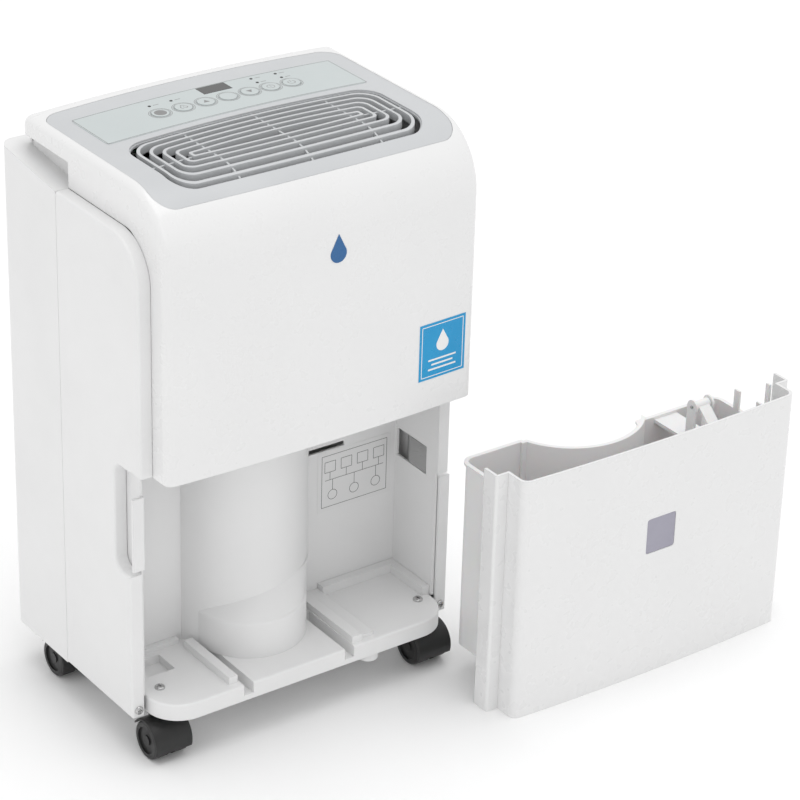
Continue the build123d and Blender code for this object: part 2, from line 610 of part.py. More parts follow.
def coil(y):
    """Finned heat exchanger: fin stack, two end plates and return bends."""
    depth = y[1] - y[0]
    middle = (y[0] + y[1]) / 2
    pieces = [span((-COIL_HALF + 2, COIL_HALF - 2), y, COIL_Z)]
    for end in both_sides(span((COIL_HALF - 2, COIL_HALF), (y[0], y[1]), COIL_Z)):
        pieces.append(end)
    height = COIL_Z[1] - COIL_Z[0]
    count = 6
    for side in (-1, 1):
        for row in range(count):
            z = COIL_Z[0] + height * (row + 0.5) / count
            bend = Plane((side * COIL_HALF, middle, z), x_dir=(0, 1, 0), z_dir=(side, 0, 0))
            loop = Pos(side * COIL_HALF, middle, z) * Rot(90, 0, 0) * Torus(depth * 0.3, 3.4)
            outside = bend * Box(60, 60, 40, align=(Align.CENTER, Align.CENTER, Align.MIN))
            pieces.append(loop & outside)
    return pieces


def drip_pan():
    """Tray under both coils, with a spout into the bucket and a port to the drain."""
    pan = span((-150, 150), PAN_Y, PAN_Z)
    pan -= span((-148, 148), (PAN_Y[0] + 2, PAN_Y[1] - 2), (PAN_Z[0] + 2, PAN_Z[1] + 1))
    pan += span(SPOUT_X, (-40, PAN_Y[0] + 1), (PAN_Z[0], PAN_Z[1] - 2))
    pan -= span((SPOUT_X[0] + 2, SPOUT_X[1] - 2), (-41, PAN_Y[0] + 3), (PAN_Z[0] + 2, PAN_Z[1] + 1))
    return pan - rod((DRAIN_X, PAN_Y[1] - 3, DRAIN_Z), (0, 1, 0), 4.8, 5)


def compressor():
    """Domed steel can on a three-armed foot, with its terminal cover."""
    x, y = COMPRESSOR
    can = rod((x, y, 96), (0, 0, 1), COMPRESSOR_R, 190)
    can = fillet(can.edges().filter_by(GeomType.CIRCLE), 22)
    foot = Pos(x, y) * Circle(46)
    for angle in (30, 150, 270):
        arm = Pos(31, 0) * Rectangle(62, 26) + Pos(62, 0) * Circle(13)
        foot += Pos(x, y) * Rot(0, 0, angle) * arm
    can += prism(foot, 92, 98)
    can += span((x + 6, x + 34), (y + 8, y + 34), (280, 300))
    return can


def compressor_mounts():
    """Three rubber grommets between the compressor's foot and the tray."""
    x, y = COMPRESSOR
    places = [(x + 62 * cos(radians(a)), y + 62 * sin(radians(a))) for a in (30, 150, 270)]
    return [pipe((px, py, TRAY_TOP), (0, 0, 1), 11, 4, 92 - TRAY_TOP) for px, py in places]


def refrigerant_pipe(radius, bend, *points):
    path = FilletPolyline(*points, radius=bend)
    start = Plane(points[0], z_dir=path % 0)
    return sweep(start * Circle(radius), path)


def refrigerant_pipes():
    """Discharge and suction pipes of the compressor, and the capillary between the coils."""
    discharge = refrigerant_pipe(4, 12, (-44, 20, 286), (-44, 20, 322), (158, 30, 322), (160, 73, 326),
                                 (160, 73, 387.7), (140, 73, 387.7))
    suction = refrigerant_pipe(4.5, 12, (-14, 43, 286), (-14, 43, 312), (-158, 46, 312), (-160, 103, 322),
                               (-160, 103, 387.7), (-140, 103, 387.7))
    capillary = refrigerant_pipe(1.5, 7, (-140, 73, 522.3), (-160, 73, 522.3), (-160, 103, 488.7),
                                 (-140, 103, 488.7))
    return [discharge, suction, capillary]


def air_filter():
    """Framed mesh that lifts out through the top of the rear cover by its tab."""
    x = (-146, 146)
    frame = span(x, FILTER_Y, FILTER_Z)
    for cx in (-97, 0, 97):
        for cz in (FILTER_Z[0] + 54, FILTER_Z[1] - 54):
            frame -= span((cx - 44, cx + 44), (FILTER_Y[0] - 1, FILTER_Y[0] + 2), (cz - 47, cz + 47))
            frame -= span((cx - 44, cx + 44), (FILTER_Y[0] + 3, FILTER_Y[1] + 1), (cz - 47, cz + 47))
    return frame + span((-22, 22), (FILTER_Y[0], FILTER_Y[1]), (FILTER_Z[1] - 1, LEDGE_Z + LEDGE_RISE + 6))


def bucket_switch():
    """Switch body behind the bay's wall, with the ears and pin of its lever."""
    low, high = SWITCH_Z
    x, y = LEVER_PIN
    body = span((178, 185.4), (GRIP_Y[1] + WALL + GAP, y + 2), (low, high))
    for z in ((low - 4, low - 0.4), (high + 0.4, high + 4)):
        body += span((x - 0.3, 185.4), (y - 4, y + 2), z)
    body += span((182, 185.4), (y - 4, y + 2), (low - 4, high + 4))
    return body + rod((x, y, low - 3), (0, 0, 1), 0.95, high - low + 6)


def switch_lever():
    """Rocking plate that the bucket presses; its rear end curls away into the wall."""
    low = SWITCH_Z[0]
    height = SWITCH_Z[1] - low
    x, y = LEVER_PIN
    face = BAY_HALF + 0.6
    curl_r = 23.0
    flat = Line((face, SWITCH_Y[0]), (face, y))
    curl = CenterArc((face + curl_r, y), curl_r, 180, -62)
    leaf = trace([flat, curl], 1.2)
    knuckle = pipe((x, y, low), (0, 0, 1), 2.0, 0.95 + FIT, height)
    plate = prism(leaf, low, low + height) - rod((x, y, low - 1), (0, 0, 1), 1.5, height + 2)
    return knuckle + plate


# ---- Bucket ----------------------------------------------------------------
def bucket_fascia():
    """Front skin of the bucket: it carries on the casing's section below the front face."""
    place = Pos(0, FACE_Y)
    step = SIDE_FRONT - FACE_Y
    outer = place * channel(0, step + 1) + rectangle((-SIDE_HALF, SIDE_HALF), (SIDE_FRONT, BAY_FRONT - 0.6))
    corners = outer.vertices().filter_by(lambda v: abs(abs(v.X) - SIDE_HALF) < 0.1 and v.Y < SIDE_FRONT + 1)
    outer = fillet(corners, 3.0)
    half = SIDE_HALF - WALL
    inner = place * channel(WALL, step + 6) + rectangle((-half, half), (SIDE_FRONT + WALL, BAY_FRONT + 5))
    skin = prism(outer - inner, CASE_LOW, BUCKET_TOP)
    web = (place * channel(WALL - 0.5, step)) & rectangle((-SIDE_HALF, SIDE_HALF), (FACE_Y, TUB_FRONT - GAP))
    skin += prism(web, TUB_TOP_RIGHT - 6, TUB_TOP_RIGHT - 3)
    floor = (place * channel(WALL - 0.5, step)) & rectangle((-SIDE_HALF, SIDE_HALF), (FACE_Y, TRAY_FRONT - 1))
    skin += prism(floor, CASE_LOW, CASE_LOW + WALL)
    window = rectangle(VIEW_X, VIEW_Z, 3)
    return skin - extrude(on_y(FACE_Y + 12, window), amount=20)


def tub_plan(shrink, lower):
    """The tub in plan, with the hollow for the bulge and, low down, for its foot."""
    plan = rectangle((-TUB_HALF, TUB_HALF), (TUB_FRONT, TUB_BACK), 11)
    plan -= Pos(*BULGE) * Circle(BULGE_R + BULGE_CLEAR)
    if lower:
        plan -= skirt_outline(BULGE_CLEAR)
    plan -= rectangle((-88 - BULGE_CLEAR, 60), (BAY_BACK - 12, BAY_BACK + 20))
    return offset(plan, -shrink, kind=Kind.INTERSECTION) if shrink else plan


def bucket_tub():
    """Open tub that fits round the bulge and its foot, with its rims, lugs and float bracket."""
    tub = prism(tub_plan(0, False), TUB_STEP, TUB_TOP) + prism(tub_plan(0, True), TUB_LOW, TUB_STEP)
    tub -= prism(tub_plan(TUB_WALL, False), TUB_STEP + TUB_WALL, TUB_TOP + 1)
    tub -= prism(tub_plan(TUB_WALL, True), TUB_LOW + TUB_WALL, TUB_STEP + TUB_WALL + 1)
    rim = offset(tub_plan(0, False), 2.2, kind=Kind.ARC) - tub_plan(TUB_WALL, False)
    right = span((TUB_SPLIT, 200), (-150, 0), (0, 400))
    tub += prism(rim, TUB_TOP - 2.5, TUB_TOP)
    tub -= right & span((0, 200), (TUB_FRONT + TUB_WALL, 0), (TUB_TOP_RIGHT, 400))
    tub += right & prism(rim, TUB_TOP_RIGHT - 2.5, TUB_TOP_RIGHT)
    back = TUB_BACK - 1
    shelf = (TUB_TOP_RIGHT - 7, TUB_TOP_RIGHT - 3)
    tub += span((EAR_X[0] - 3, EAR_X[1] + EAR_T + 3), (PIVOT[0] - 6, back), shelf)
    for x in EAR_X:
        ear = rod((x, *PIVOT), (1, 0, 0), 7.5, EAR_T)
        ear += span((x, x + EAR_T), (PIVOT[0] - 5, PIVOT[0] + 7.5), (TUB_TOP_RIGHT - 7, PIVOT[1]))
        tub += ear - rod((x - 1, *PIVOT), (1, 0, 0), 1.5, EAR_T + 2)
    wall = (TUB_HALF - TUB_WALL, TUB_HALF)
    for y, top in (((-66, -58), 302), ((-110, -92), TUB_TOP), ((-110, -104), CATCH_TOP)):
        tub += span(wall, y, (TUB_TOP_RIGHT - 4, top))
    for x in (-120, 120):
        for z in (118, 262):
            tub += span((x - 9, x + 9), (-137.0, TUB_FRONT + 1), (z, z + 8))
    return tub


def level_window():
    """Clear window in the bucket's front skin."""
    pane = rectangle((VIEW_X[0] + 0.2, VIEW_X[1] - 0.2), (VIEW_Z[0] + 0.2, VIEW_Z[1] - 0.2), 2.8)
    depth = layer(60, 0.5, WALL)
    slab = extrude(Plane((0, FACE_Y, VIEW_Z[0] - 5), x_dir=(1, 0, 0), z_dir=(0, 0, 1)) * depth, amount=60)
    return slab & extrude(on_y(FACE_Y + 12, pane), amount=20)


def float_arm():
    """Lever of the float: a hub between the ears and a strap running down and forwards."""
    x0 = EAR_X[0] + EAR_T + 0.5
    x1 = EAR_X[1] - 0.5
    y, z = PIVOT
    arm = rod((x0, y, z), (1, 0, 0), 5, x1 - x0)
    low = FLOAT_TOP + 0.3
    strap = make_face(Polyline((y, z + 5), (y, z + 1), (y - 17, low + 3), (y - 17, low), (y - 34, low),
                               (y - 34, low + 3), (y - 20, low + 6), close=True))
    arm += extrude(on_x(x0 + 2, strap), amount=x1 - x0 - 4)
    return arm - rod((x0 - 1, y, z), (1, 0, 0), 1.5 + FIT, x1 - x0 + 2)


def float_block():
    """Closed-cell foam float under the strap."""
    block = span(FLOAT_X, (PIVOT[0] - 36, PIVOT[0] - 12), (FLOAT_TOP - 27, FLOAT_TOP))
    return fillet(block.edges(), 3)


# ---- Writing the parts -----------------------------------------------------
save("front_casing", front_casing())
right_panel = side_panel()
save("side_panel_right", right_panel)
save("side_panel_left", mirror(right_panel, about=Plane.YZ))
save("rear_cover", rear_cover())
save("intake_grille", intake_grille())
save("bay_liner", bay_liner())
save("base_tray", base_tray())
save("support_foot", fillet(rod((*FOOT, FOOT_LOW), (0, 0, 1), FOOT_R, TRAY_LOW - FOOT_LOW).edges()
                            .sort_by(Axis.Z)[0], 2))
save("tray_screws", *[screw((x, y, TRAY_TOP), (0, 0, 1), 5.2, 2.6, 3.5) for x, y in TRAY_SCREWS])
save("casing_screws",
     *both_sides(screw((SIDE_SCREW[0], BAY_FRONT, SIDE_SCREW[1]), (0, -1, 0), 4.4, 2.4, 8)),
     *[screw((x, REAR_Y, z), (0, 1, 0), 4.4, 2.4, 8) for x, z in REAR_SCREWS])

save("caster_bushes", *[pipe((x, y, TRAY_LOW), (0, 0, 1), 8, STEM_R, 14)
                        for x in (-CASTER_X, CASTER_X) for y in STEM_Y])
for side, x in (("left", -CASTER_X), ("right", CASTER_X)):
    for end, y in zip(("front", "rear"), STEM_Y):
        save(f"caster_fork_{end}_{side}", caster_fork(x, y))
        save(f"caster_wheels_{end}_{side}", *caster_wheels(x, y))

save("deck_panel", deck_panel())
save("vent_grille", vent_grille())
save("control_overlay", control_overlay())
pane_x = (DISPLAY_X[0] + 0.1, DISPLAY_X[1] - 0.1)
pane_y = (DISPLAY_Y[0] + 0.1, DISPLAY_Y[1] - 0.1)
save("display_window", span(pane_x, pane_y, (616, DECK_Z + 0.25)))
save("status_leds", *[rod((x, y, 616), (0, 0, 1), LED_R, surface_z(x) + 0.5 - 616) for x, y in LED_XY])
for name, x in KEYS.items():
    save(f"key_{name}", key(x))
save("control_board", *control_board())

save("fan_scroll", fan_scroll())
save("fan_wheel", fan_wheel())
save("fan_shaft", rod((0, SCROLL_Y[0] - 24, FAN_Z), (0, 1, 0), SHAFT_R, FAN_Y[0] + 26 - SCROLL_Y[0] + 24))
save("fan_motor", fan_motor())
save("condenser", *coil(CONDENSER_Y))
save("evaporator", *coil(EVAPORATOR_Y))
save("drip_pan", drip_pan())
save("compressor", compressor())
save("compressor_mounts", *compressor_mounts())
save("refrigerant_pipes", *refrigerant_pipes())
save("capacitor", fillet(rod((112, 60, TRAY_TOP), (0, 0, 1), 20, 72).edges().sort_by(Axis.Z)[-1], 3))
save("air_filter", air_filter())
save("bucket_switch", bucket_switch())
save("switch_lever", switch_lever())

save("drain_spout", pipe((DRAIN_X, PAN_Y[1], DRAIN_Z), (0, 1, 0), DRAIN_R, 4.8, DRAIN_END - PAN_Y[1]))
cap = rod((DRAIN_X, DRAIN_END - 10, DRAIN_Z), (0, 1, 0), 9.4, 12.4)
cap = fillet(cap.edges().sort_by(Axis.Y)[-1], 1.5)
save("drain_cap", cap - rod((DRAIN_X, DRAIN_END - 11, DRAIN_Z), (0, 1, 0), DRAIN_R + FIT, 11.4))
gland = rod((150, REAR_Y - 7, 96), (0, 1, 0), 7, 14) + rod((150, REAR_Y, 96), (0, 1, 0), 10, 3)
save("cord_gland", gland - rod((150, REAR_Y - 8, 96), (0, 1, 0), 4, 20))

save("wiring_label", span((76, 166), (BAY_BACK - 0.35, BAY_BACK - 0.05), (170, 239)))
face_film = follow(layer(170, -0.35, -0.05), PANEL_LOW, BEND_Y + 20)
save("front_label", face_film & span((107, 163), (-160, -120), (365, 425)))
droplet = make_face([
    Line((1.5, 532), (9, 547)),
    Line((9, 547), (16.5, 532)),
    ThreePointArc((16.5, 532), (9, 518), (1.5, 532)),
])
save("emblem", extrude(on_y(-120, droplet), amount=40) & face_film)

seat = Pos(*BUCKET_REST)
save("bucket_fascia", seat * bucket_fascia())
save("bucket_tub", seat * bucket_tub())
save("level_window", seat * level_window())
save("float_arm", seat * float_arm())
save("float_block", seat * float_block())
save("float_pin", seat * rod((EAR_X[0] - 1.5, *PIVOT), (1, 0, 0), 1.5, EAR_X[1] - EAR_X[0] + 5.5))
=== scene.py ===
import json
import math

import bmesh
import bpy
from mathutils import Matrix, Vector


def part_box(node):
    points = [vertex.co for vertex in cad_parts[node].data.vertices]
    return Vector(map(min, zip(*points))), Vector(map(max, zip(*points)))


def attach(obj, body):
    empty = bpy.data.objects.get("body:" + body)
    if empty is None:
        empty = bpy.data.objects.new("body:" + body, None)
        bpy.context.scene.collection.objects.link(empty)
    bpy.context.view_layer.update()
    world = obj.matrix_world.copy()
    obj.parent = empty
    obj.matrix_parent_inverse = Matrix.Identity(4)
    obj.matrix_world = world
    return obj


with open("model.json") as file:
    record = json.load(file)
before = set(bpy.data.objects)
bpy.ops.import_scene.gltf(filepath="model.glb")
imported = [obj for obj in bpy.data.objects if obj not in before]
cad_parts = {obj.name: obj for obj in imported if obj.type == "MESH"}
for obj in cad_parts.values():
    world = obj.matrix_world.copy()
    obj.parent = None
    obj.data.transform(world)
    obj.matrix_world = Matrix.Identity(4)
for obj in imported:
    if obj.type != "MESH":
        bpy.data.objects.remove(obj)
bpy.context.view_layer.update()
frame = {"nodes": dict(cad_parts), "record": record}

NODES = frame["nodes"]
scene = bpy.context.scene


# ---- Camera and light ------------------------------------------------------
AZIMUTH = math.radians(-36.32)
ELEVATION = math.radians(27.5)
ROLL = math.radians(1.65)
TARGET = Vector((0.1301, -0.0728, 0.3016))
DISTANCE = 3.0824
LENS = 139.96
SENSOR = 36.0
SHIFT = (0.0059, -0.0033)

SUBJECT = (0.1, 0, 0.3)   # what the lamps point at
WORLD_STRENGTH = 0.80
SUN_POWER = 0.95
SUN_SOFTNESS = math.radians(50)
SUN_FROM = (0.3, -0.2, 3.0)
FLOOR_HALF = 12.0


def add_camera():
    back = Vector((math.sin(AZIMUTH) * math.cos(ELEVATION), -math.cos(AZIMUTH) * math.cos(ELEVATION),
                   math.sin(ELEVATION)))
    right = Vector((math.cos(AZIMUTH), math.sin(AZIMUTH), 0))
    up = back.cross(right)
    across = right * math.cos(ROLL) + up * math.sin(ROLL)
    upwards = up * math.cos(ROLL) - right * math.sin(ROLL)
    data = bpy.data.cameras.new("camera")
    data.lens = LENS
    data.sensor_width = SENSOR
    data.shift_x, data.shift_y = SHIFT
    data.clip_end = 50.0
    camera = bpy.data.objects.new("camera", data)
    place = Matrix((across, upwards, back)).transposed().to_4x4()
    place.translation = TARGET + back * DISTANCE
    camera.matrix_world = place
    scene.collection.objects.link(camera)
    scene.camera = camera


def add_area(name, place, aim, size, power):
    data = bpy.data.lights.new(name, "AREA")
    data.shape = "DISK"
    data.size = size
    data.energy = power
    light = bpy.data.objects.new(name, data)
    light.location = place
    light.rotation_euler = (Vector(aim) - Vector(place)).to_track_quat("-Z", "Y").to_euler()
    scene.collection.objects.link(light)


def add_sun(power, softness, place, aim):
    data = bpy.data.lights.new("overhead", "SUN")
    data.energy = power
    data.angle = softness
    sun = bpy.data.objects.new("overhead", data)
    sun.rotation_euler = (Vector(aim) - Vector(place)).to_track_quat("-Z", "Y").to_euler()
    scene.collection.objects.link(sun)


def add_world():
    world = bpy.data.worlds.new("studio")
    world.use_nodes = True
    background = world.node_tree.nodes["Background"]
    background.inputs["Color"].default_value = (1, 1, 1, 1)
    background.inputs["Strength"].default_value = WORLD_STRENGTH
    scene.world = world


def add_floor(material):
    corners = [(x * FLOOR_HALF, y * FLOOR_HALF, 0) for x, y in ((-1, -1), (1, -1), (1, 1), (-1, 1))]
    mesh = bpy.data.meshes.new("floor")
    mesh.from_pydata(corners, [], [(0, 1, 2, 3)])
    floor = bpy.data.objects.new("floor", mesh)
    floor.data.materials.append(material)
    scene.collection.objects.link(floor)


# ---- Materials -------------------------------------------------------------
class Shader:
    """A new node material with a Principled shader and short helpers to build on it."""

    def __init__(self, name, **sockets):
        self.material = bpy.data.materials.new(name)
        self.material.use_nodes = True
        self.tree = self.material.node_tree
        self.main = self.tree.nodes["Principled BSDF"]
        for key, value in sockets.items():
            self.main.inputs[key.replace("_", " ")].default_value = value

    def node(self, kind, **settings):
        made = self.tree.nodes.new(kind)
        for key, value in settings.items():
            if hasattr(made, key):
                setattr(made, key, value)
            else:
                made.inputs[key.replace("_", " ")].default_value = value
        return made

    def link(self, source, target):
        self.tree.links.new(source, target)

    def place(self, stretch=(1, 1, 1)):
        """Object coordinates in metres, stretched per axis."""
        where = self.node("ShaderNodeTexCoord")
        mapping = self.node("ShaderNodeMapping")
        mapping.inputs["Scale"].default_value = stretch
        self.link(where.outputs["Object"], mapping.inputs["Vector"])
        return mapping.outputs["Vector"]

    def noise(self, scale, detail=3.0, stretch=(1, 1, 1)):
        noise = self.node("ShaderNodeTexNoise", Scale=scale, Detail=detail)
        self.link(self.place(stretch), noise.inputs["Vector"])
        return noise.outputs["Fac"]

    def ramp(self, source, low, high, start=0.35, end=0.65):
        ramp = self.node("ShaderNodeMapRange")
        ramp.inputs["From Min"].default_value = start
        ramp.inputs["From Max"].default_value = end
        ramp.inputs["To Min"].default_value = low
        ramp.inputs["To Max"].default_value = high
        self.link(source, ramp.inputs["Value"])
        return ramp.outputs["Result"]

    def colours(self, source, dark, light, start=0.3, end=0.7):
        ramp = self.node("ShaderNodeValToRGB")
        ramp.color_ramp.elements[0].position = start
        ramp.color_ramp.elements[0].color = (*dark, 1)
        ramp.color_ramp.elements[1].position = end
        ramp.color_ramp.elements[1].color = (*light, 1)
        self.link(source, ramp.inputs["Fac"])
        self.link(ramp.outputs["Color"], self.main.inputs["Base Color"])

    def roughness(self, source, low, high):
        self.link(self.ramp(source, low, high), self.main.inputs["Roughness"])

    def relief(self, source, height, round_edge=0.0):
        """Bump from a height in metres, on edges rounded by a small radius."""
        bump = self.node("ShaderNodeBump")
        bump.inputs["Distance"].default_value = height
        bump.inputs["Strength"].default_value = 1.0
        self.link(source, bump.inputs["Height"])
        if round_edge:
            bevel = self.node("ShaderNodeBevel", samples=4)
            bevel.inputs["Radius"].default_value = round_edge
            self.link(bevel.outputs["Normal"], bump.inputs["Normal"])
        self.link(bump.outputs["Normal"], self.main.inputs["Normal"])


def moulded(name, dark, light, rough, grain=900.0, height=0.000002, edge=0.0008, **sockets):
    """Moulded plastic: fine tool texture, faint colour drift and slightly uneven gloss."""
    shader = Shader(name, **sockets)
    shader.colours(shader.noise(9.0, 4.0), dark, light)
    shader.roughness(shader.noise(60.0, 2.0), *rough)
    shader.relief(shader.noise(grain, 2.0), height, edge)
    return shader.material


def metal(name, dark, light, rough, stretch=(1, 1, 1), height=0.00001, scale=700.0, **sockets):
    """Bare metal with fine drawn or brushed lines along the short axis of the stretch."""
    shader = Shader(name, Metallic=1.0, **sockets)
    lines = shader.noise(scale, 3.0, stretch)
    shader.colours(lines, dark, light)
    shader.roughness(lines, *rough)
    shader.relief(lines, height, 0.0004)
    return shader.material


def grey(value, tint=0.0):
    return (value - tint, value, value + tint)


def make_materials():
    white = moulded("glossy_white_abs", grey(0.80), grey(0.815), (0.27, 0.29),
                    grain=1800.0, height=0.0000005,
                    Coat_Weight=0.25, Coat_Roughness=0.12)
    satin_white = moulded("satin_white_abs", grey(0.78), grey(0.81), (0.36, 0.46), grain=1400.0,
                          height=0.000003)
    tub = moulded("white_polypropylene", grey(0.80), grey(0.84), (0.34, 0.44), height=0.00003,
                  Subsurface_Weight=0.12, Subsurface_Scale=0.004)
    inset = moulded("satin_grey_abs", grey(0.56, 0.012), grey(0.60, 0.012), (0.38, 0.48), grain=1600.0,
                    height=0.00003)
    film = moulded("printed_film", (0.53, 0.575, 0.575), (0.555, 0.60, 0.60), (0.30, 0.38), grain=2200.0,
                   height=0.000012, edge=0.0)
    nylon = moulded("black_nylon", grey(0.010), grey(0.018), (0.34, 0.5), grain=700.0, height=0.00005)
    rubber = moulded("black_rubber", grey(0.018), grey(0.030), (0.6, 0.75), grain=900.0, height=0.00006)
    return {
        "white_abs": white,
        "satin_white": satin_white,
        "tub": tub,
        "grey_inset": inset,
        "control_film": film,
        "key_grey": film,
        "black_nylon": nylon,
        "black_rubber": rubber,
        "display_black": moulded("smoked_window", grey(0.012), grey(0.018), (0.06, 0.12), height=0.000003,
                                 edge=0.0, Coat_Weight=0.6),
        "led_lens": moulded("smoked_lens", grey(0.02), grey(0.035), (0.1, 0.2), height=0.000005, edge=0.0),
        "circuit_board": moulded("green_laminate", (0.01, 0.10, 0.04), (0.015, 0.14, 0.06), (0.3, 0.45)),
        "zinc_screw": metal("bright_zinc", grey(0.45), grey(0.62), (0.2, 0.34)),
        "motor_steel": metal("plain_steel", grey(0.38), grey(0.5), (0.28, 0.42), (1, 8, 1)),
        "coil_aluminium": metal("fin_aluminium", grey(0.5), grey(0.64), (0.3, 0.45), (12, 1, 1)),
        "compressor_paint": moulded("black_enamel", grey(0.012), grey(0.02), (0.22, 0.36), height=0.00004,
                                    Coat_Weight=0.3),
        "copper_pipe": metal("drawn_copper", (0.55, 0.22, 0.10), (0.78, 0.36, 0.18), (0.22, 0.36)),
        "capacitor_can": metal("drawn_aluminium", grey(0.5), grey(0.6), (0.25, 0.38), (1, 1, 8)),
        "filter_mesh": moulded("filter_plastic", grey(0.03), grey(0.05), (0.45, 0.6)),
        "spring_steel": metal("spring_steel", grey(0.42), grey(0.52), (0.22, 0.34), (1, 1, 14)),
        "drain_grey": moulded("grey_spout", grey(0.42), grey(0.46), (0.4, 0.5)),
        "label_paper": moulded("label_paper", grey(0.76), grey(0.80), (0.5, 0.6), edge=0.0),
        "blue_label": moulded("blue_print", (0.0, 0.27, 0.56), (0.0, 0.31, 0.62), (0.24, 0.34), edge=0.0),
        "emblem_print": moulded("mark_print", (0.015, 0.10, 0.28), (0.02, 0.13, 0.33),
                                (0.25, 0.35), edge=0.0),
        "window_tint": moulded("tinted_window", (0.30, 0.29, 0.36), (0.34, 0.33, 0.40), (0.10, 0.16),
                               height=0.000004, edge=0.0, Coat_Weight=0.5),
        "float_foam": moulded("closed_cell_foam", grey(0.78), grey(0.83), (0.7, 0.85), grain=420.0,
                              height=0.0002),
        "ink": moulded("dark_ink", grey(0.05), grey(0.08), (0.4, 0.5), edge=0.0),
        "soft_ink": moulded("grey_ink", grey(0.22), grey(0.28), (0.4, 0.5), edge=0.0),
        "white_ink": moulded("white_ink", grey(0.82), grey(0.86), (0.3, 0.4), edge=0.0),
        "floor": moulded("pale_floor", grey(0.95), grey(0.96), (0.7, 0.8),
                         grain=40.0, height=0.00002, edge=0.0),
    }


SATIN_NODES = ("side_panel_left", "side_panel_right", "rear_cover", "intake_grille",
               "bay_liner", "base_tray",
               "support_foot")
TUB_NODES = ("bucket_tub", "float_arm", "drip_pan")


def dress_frame(materials):
    """Gives every CAD node its material."""
    slots = {part["node"]: part["material_slot"] for part in frame["record"]["subparts"]}
    for name, obj in NODES.items():
        key = slots[name]
        if name in SATIN_NODES:
            key = "satin_white"
        if name in TUB_NODES:
            key = "tub"
        obj.data.materials.clear()
        obj.data.materials.append(materials[key])


# ---- Printed marks ---------------------------------------------------------
CROWN = 0.005             # how far face and deck bulge between their edges
PRINT_T = 0.00004         # thickness of printed ink
STEP = 0.008              # longest straight stretch on a curved surface
INK_W = 0.0007


CASING_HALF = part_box("front_casing")[1][0]
CROWN_R = (CASING_HALF ** 2 + CROWN ** 2) / (2 * CROWN)


def crown_drop(x):
    return CROWN_R - math.sqrt(CROWN_R ** 2 - x ** 2)


FILM_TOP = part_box("control_overlay")[1][2]
DIAGRAM_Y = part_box("wiring_label")[0][1]
LABEL_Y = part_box("front_label")[0][1] - crown_drop(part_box("front_label")[0][0])


def stroke(start, end, width=INK_W):
    """A straight printed line, cut into short quads so that it can follow a curve."""
    start, end = Vector(start), Vector(end)
    count = max(1, math.ceil((end - start).length / STEP))
    along = (end - start).normalized()
    side = Vector((-along.y, along.x)) * width / 2
    points = [start.lerp(end, i / count) for i in range(count + 1)]
    return [(a - side, b - side, b + side, a + side) for a, b in zip(points, points[1:])]


def strokes(points, width=INK_W):
    return [quad for a, b in zip(points, points[1:]) for quad in stroke(a, b, width)]


def frame_line(low, high, width=INK_W):
    corners = [low, (high[0], low[1]), high, (low[0], high[1]), low]
    return strokes(corners, width)


def arc(centre, radius, width=INK_W, start=0.0, turn=360.0):
    """A ring, or part of one, as quads; angles in degrees from the right."""
    count = max(8, math.ceil(turn / 9))
    rays = []
    for i in range(count + 1):
        angle = math.radians(start + turn * i / count)
        rays.append(Vector((math.cos(angle), math.sin(angle))))
    middle = Vector(centre)
    low, high = radius - width / 2, radius + width / 2
    return [(middle + a * low, middle + a * high, middle + b * high, middle + b * low)
            for a, b in zip(rays, rays[1:])]


def disc(centre, radius, count=28):
    turns = [math.tau * i / count for i in range(count)]
    return [tuple(Vector(centre) + Vector((math.cos(t), math.sin(t))) * radius for t in turns)]


def on_deck(u, v, lift):
    return (u, v, FILM_TOP - crown_drop(u) + lift)


def on_label(u, v, lift):
    return (u, DIAGRAM_Y - lift, v)


def on_face(u, v, lift):
    return (u, LABEL_Y + crown_drop(u) - lift, v)


def printed(name, polygons, place, material, body):
    """Thin closed ink shapes on a surface, riding on a body."""
    mesh = bpy.data.meshes.new(name)
    ink = bmesh.new()
    for polygon in polygons:
        low = [ink.verts.new(place(p[0], p[1], PRINT_T * 0.5)) for p in polygon]
        high = [ink.verts.new(place(p[0], p[1], PRINT_T * 1.5)) for p in polygon]
        ink.faces.new(low[::-1])
        ink.faces.new(high)
        for i in range(len(polygon)):
            j = (i + 1) % len(polygon)
            ink.faces.new((low[i], low[j], high[j], high[i]))
    bmesh.ops.recalc_face_normals(ink, faces=ink.faces)
    ink.to_mesh(mesh)
    ink.free()
    piece = bpy.data.objects.new(name, mesh)
    piece.data.materials.append(material)
    scene.collection.objects.link(piece)
    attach(piece, body)


def centre_of(node):
    low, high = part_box(node)
    return ((low[0] + high[0]) / 2, (low[1] + high[1]) / 2)


def triangle(centre, size):
    """A triangle that points away from the viewer, or towards them for a negative size."""
    x, y = centre
    base = y - size * 0.7
    return [(Vector((x - abs(size), base)), Vector((x + abs(size), base)), Vector((x, y + size)))]


def key_icon(kind, centre):
    """Plain generic symbol of one key."""
    x, y = centre
    if kind == "pump":
        return disc(centre, 0.0062, 40)
    if kind == "fan":
        return [quad for turn in (90, 210, 330) for quad in arc(
            (x + 0.0021 * math.cos(math.radians(turn)), y + 0.0021 * math.sin(math.radians(turn))),
            0.0019, 0.0008, turn - 110, 220)] + disc(centre, 0.0006)
    if kind in ("up", "down"):
        return triangle(centre, 0.0034 if kind == "up" else -0.0034)
    if kind == "timer":
        return arc(centre, 0.0038, 0.0006) + strokes([(x, y + 0.0026), (x, y), (x + 0.0019, y)], 0.0006)
    if kind == "power":
        return arc(centre, 0.0036, 0.0007, 125, 290) + stroke((x, y + 0.0008), (x, y + 0.0046))
    return []


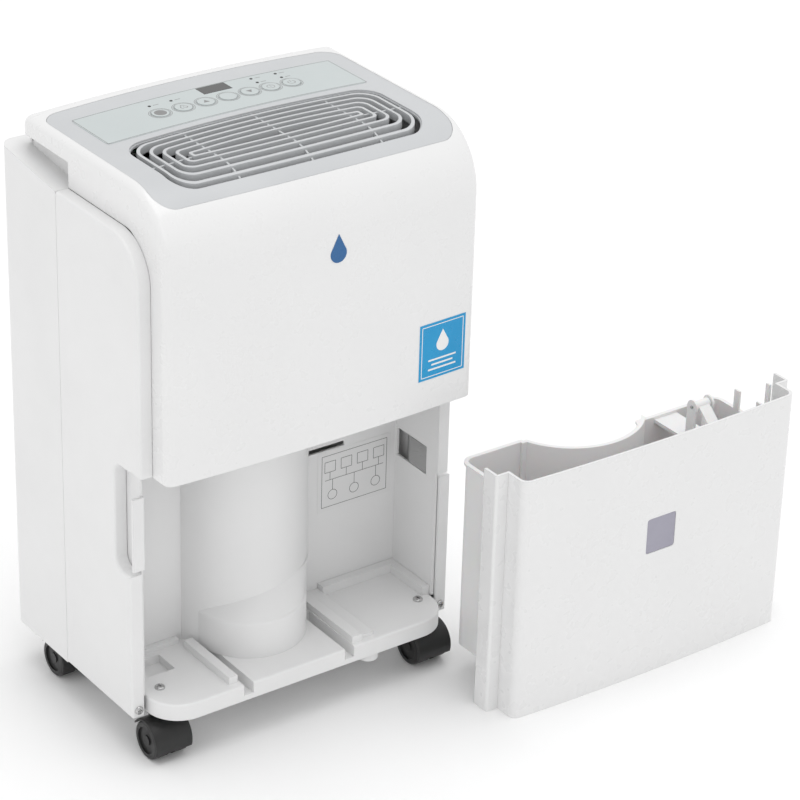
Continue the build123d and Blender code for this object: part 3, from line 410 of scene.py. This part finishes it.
def print_controls(materials):
    """Outline of the film, rings round the keys, their symbols and the dashes by the lamps."""
    low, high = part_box("control_overlay")
    edge = 0.0012
    outline = frame_line((low[0] + edge, low[1] + edge), (high[0] - edge, high[1] - edge), 0.0006)
    printed("film_outline", outline, on_deck, materials["soft_ink"], "housing")
    marks = []
    for kind in ("pump", "fan", "up", "mode", "down", "timer", "power"):
        centre = centre_of("key_" + kind)
        for radius in (0.0098, 0.0112):
            marks += arc(centre, radius, 0.0005)
        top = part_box("key_" + kind)[1][2]
        icon = key_icon(kind, centre)
        if icon:
            printed(kind + "_symbol", icon, lambda u, v, lift, z=top: (u, v, z + lift - PRINT_T),
                    materials["soft_ink"], "key_" + kind + "_cap")
    for x, y in lamp_centres():
        marks += stroke((x + 0.004, y), (x + 0.010, y), 0.0008)
    printed("key_rings", marks, on_deck, materials["soft_ink"], "housing")


def lamp_centres():
    """Middle of each lamp, from the vertices of the lamps' shared node."""
    middles = []
    for vertex in NODES["status_leds"].data.vertices:
        point = Vector((vertex.co.x, vertex.co.y))
        near = [group for group in middles if (group[0] - point).length < 0.004]
        if near:
            near[0].append(point)
        else:
            middles.append([point, point])
    return [sum(group[1:], Vector((0, 0))) / len(group[1:]) for group in middles]


def print_wiring(materials):
    """Generic circuit drawing: a frame, a row of boxes, three round symbols and their wires."""
    low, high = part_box("wiring_label")
    x0, x1 = low[0] + 0.005, high[0] - 0.005
    z0, z1 = low[2] + 0.005, high[2] - 0.005
    art = frame_line((x0, z0), (x1, z1), 0.0005)
    width = (x1 - x0) / 4
    rail = z0 + (z1 - z0) * 0.52
    art += stroke((x0 + 0.004, rail), (x1 - 0.004, rail), 0.0005)
    for i in range(4):
        left = x0 + width * i + 0.0035
        right = left + width - 0.007
        middle = (left + right) / 2
        art += frame_line((left, rail + 0.009), (right, rail + 0.021), 0.0005)
        art += stroke((middle, rail), (middle, rail + 0.009), 0.0005)
    for i in range(3):
        middle = x0 + (x1 - x0) * (i + 0.5) / 3
        art += arc((middle, z0 + 0.013), 0.0055, 0.0005)
        art += stroke((middle, z0 + 0.0185), (middle, rail), 0.0005)
    printed("wiring_drawing", art, on_label, materials["ink"], "housing")


def print_face_label(materials):
    """Generic label art: a keyline, a drop and three plain bars."""
    low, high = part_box("front_label")
    x0, x1 = low[0] + 0.003, high[0] - 0.003
    z0, z1 = low[2] + 0.003, high[2] - 0.003
    middle = (x0 + x1) / 2
    art = frame_line((x0, z0), (x1, z1), 0.0008)
    drop_z = z1 - 0.022
    art += disc((middle, drop_z), 0.0075, 36)
    art += [(Vector((middle - 0.0070, drop_z + 0.0027)), Vector((middle + 0.0070, drop_z + 0.0027)),
             Vector((middle, drop_z + 0.0155)))]
    for i, half in enumerate((0.017, 0.013, 0.017)):
        z = z0 + 0.007 + 0.005 * i
        art += stroke((middle - half, z), (middle + half, z), 0.0018)
    printed("label_art", art, on_face, materials["white_ink"], "housing")


materials = make_materials()
add_camera()
add_world()
scene.view_settings.view_transform = "Standard"
add_area("key", (-1.2, -2.6, 2.6), SUBJECT, 2.0, 5)
add_area("fill", (-2.8, 0.6, 1.4), SUBJECT, 2.4, 3)
add_sun(SUN_POWER, SUN_SOFTNESS, SUN_FROM, (0, 0, 0))
add_floor(materials["floor"])
dress_frame(materials)
print_controls(materials)
print_wiring(materials)
print_face_label(materials)
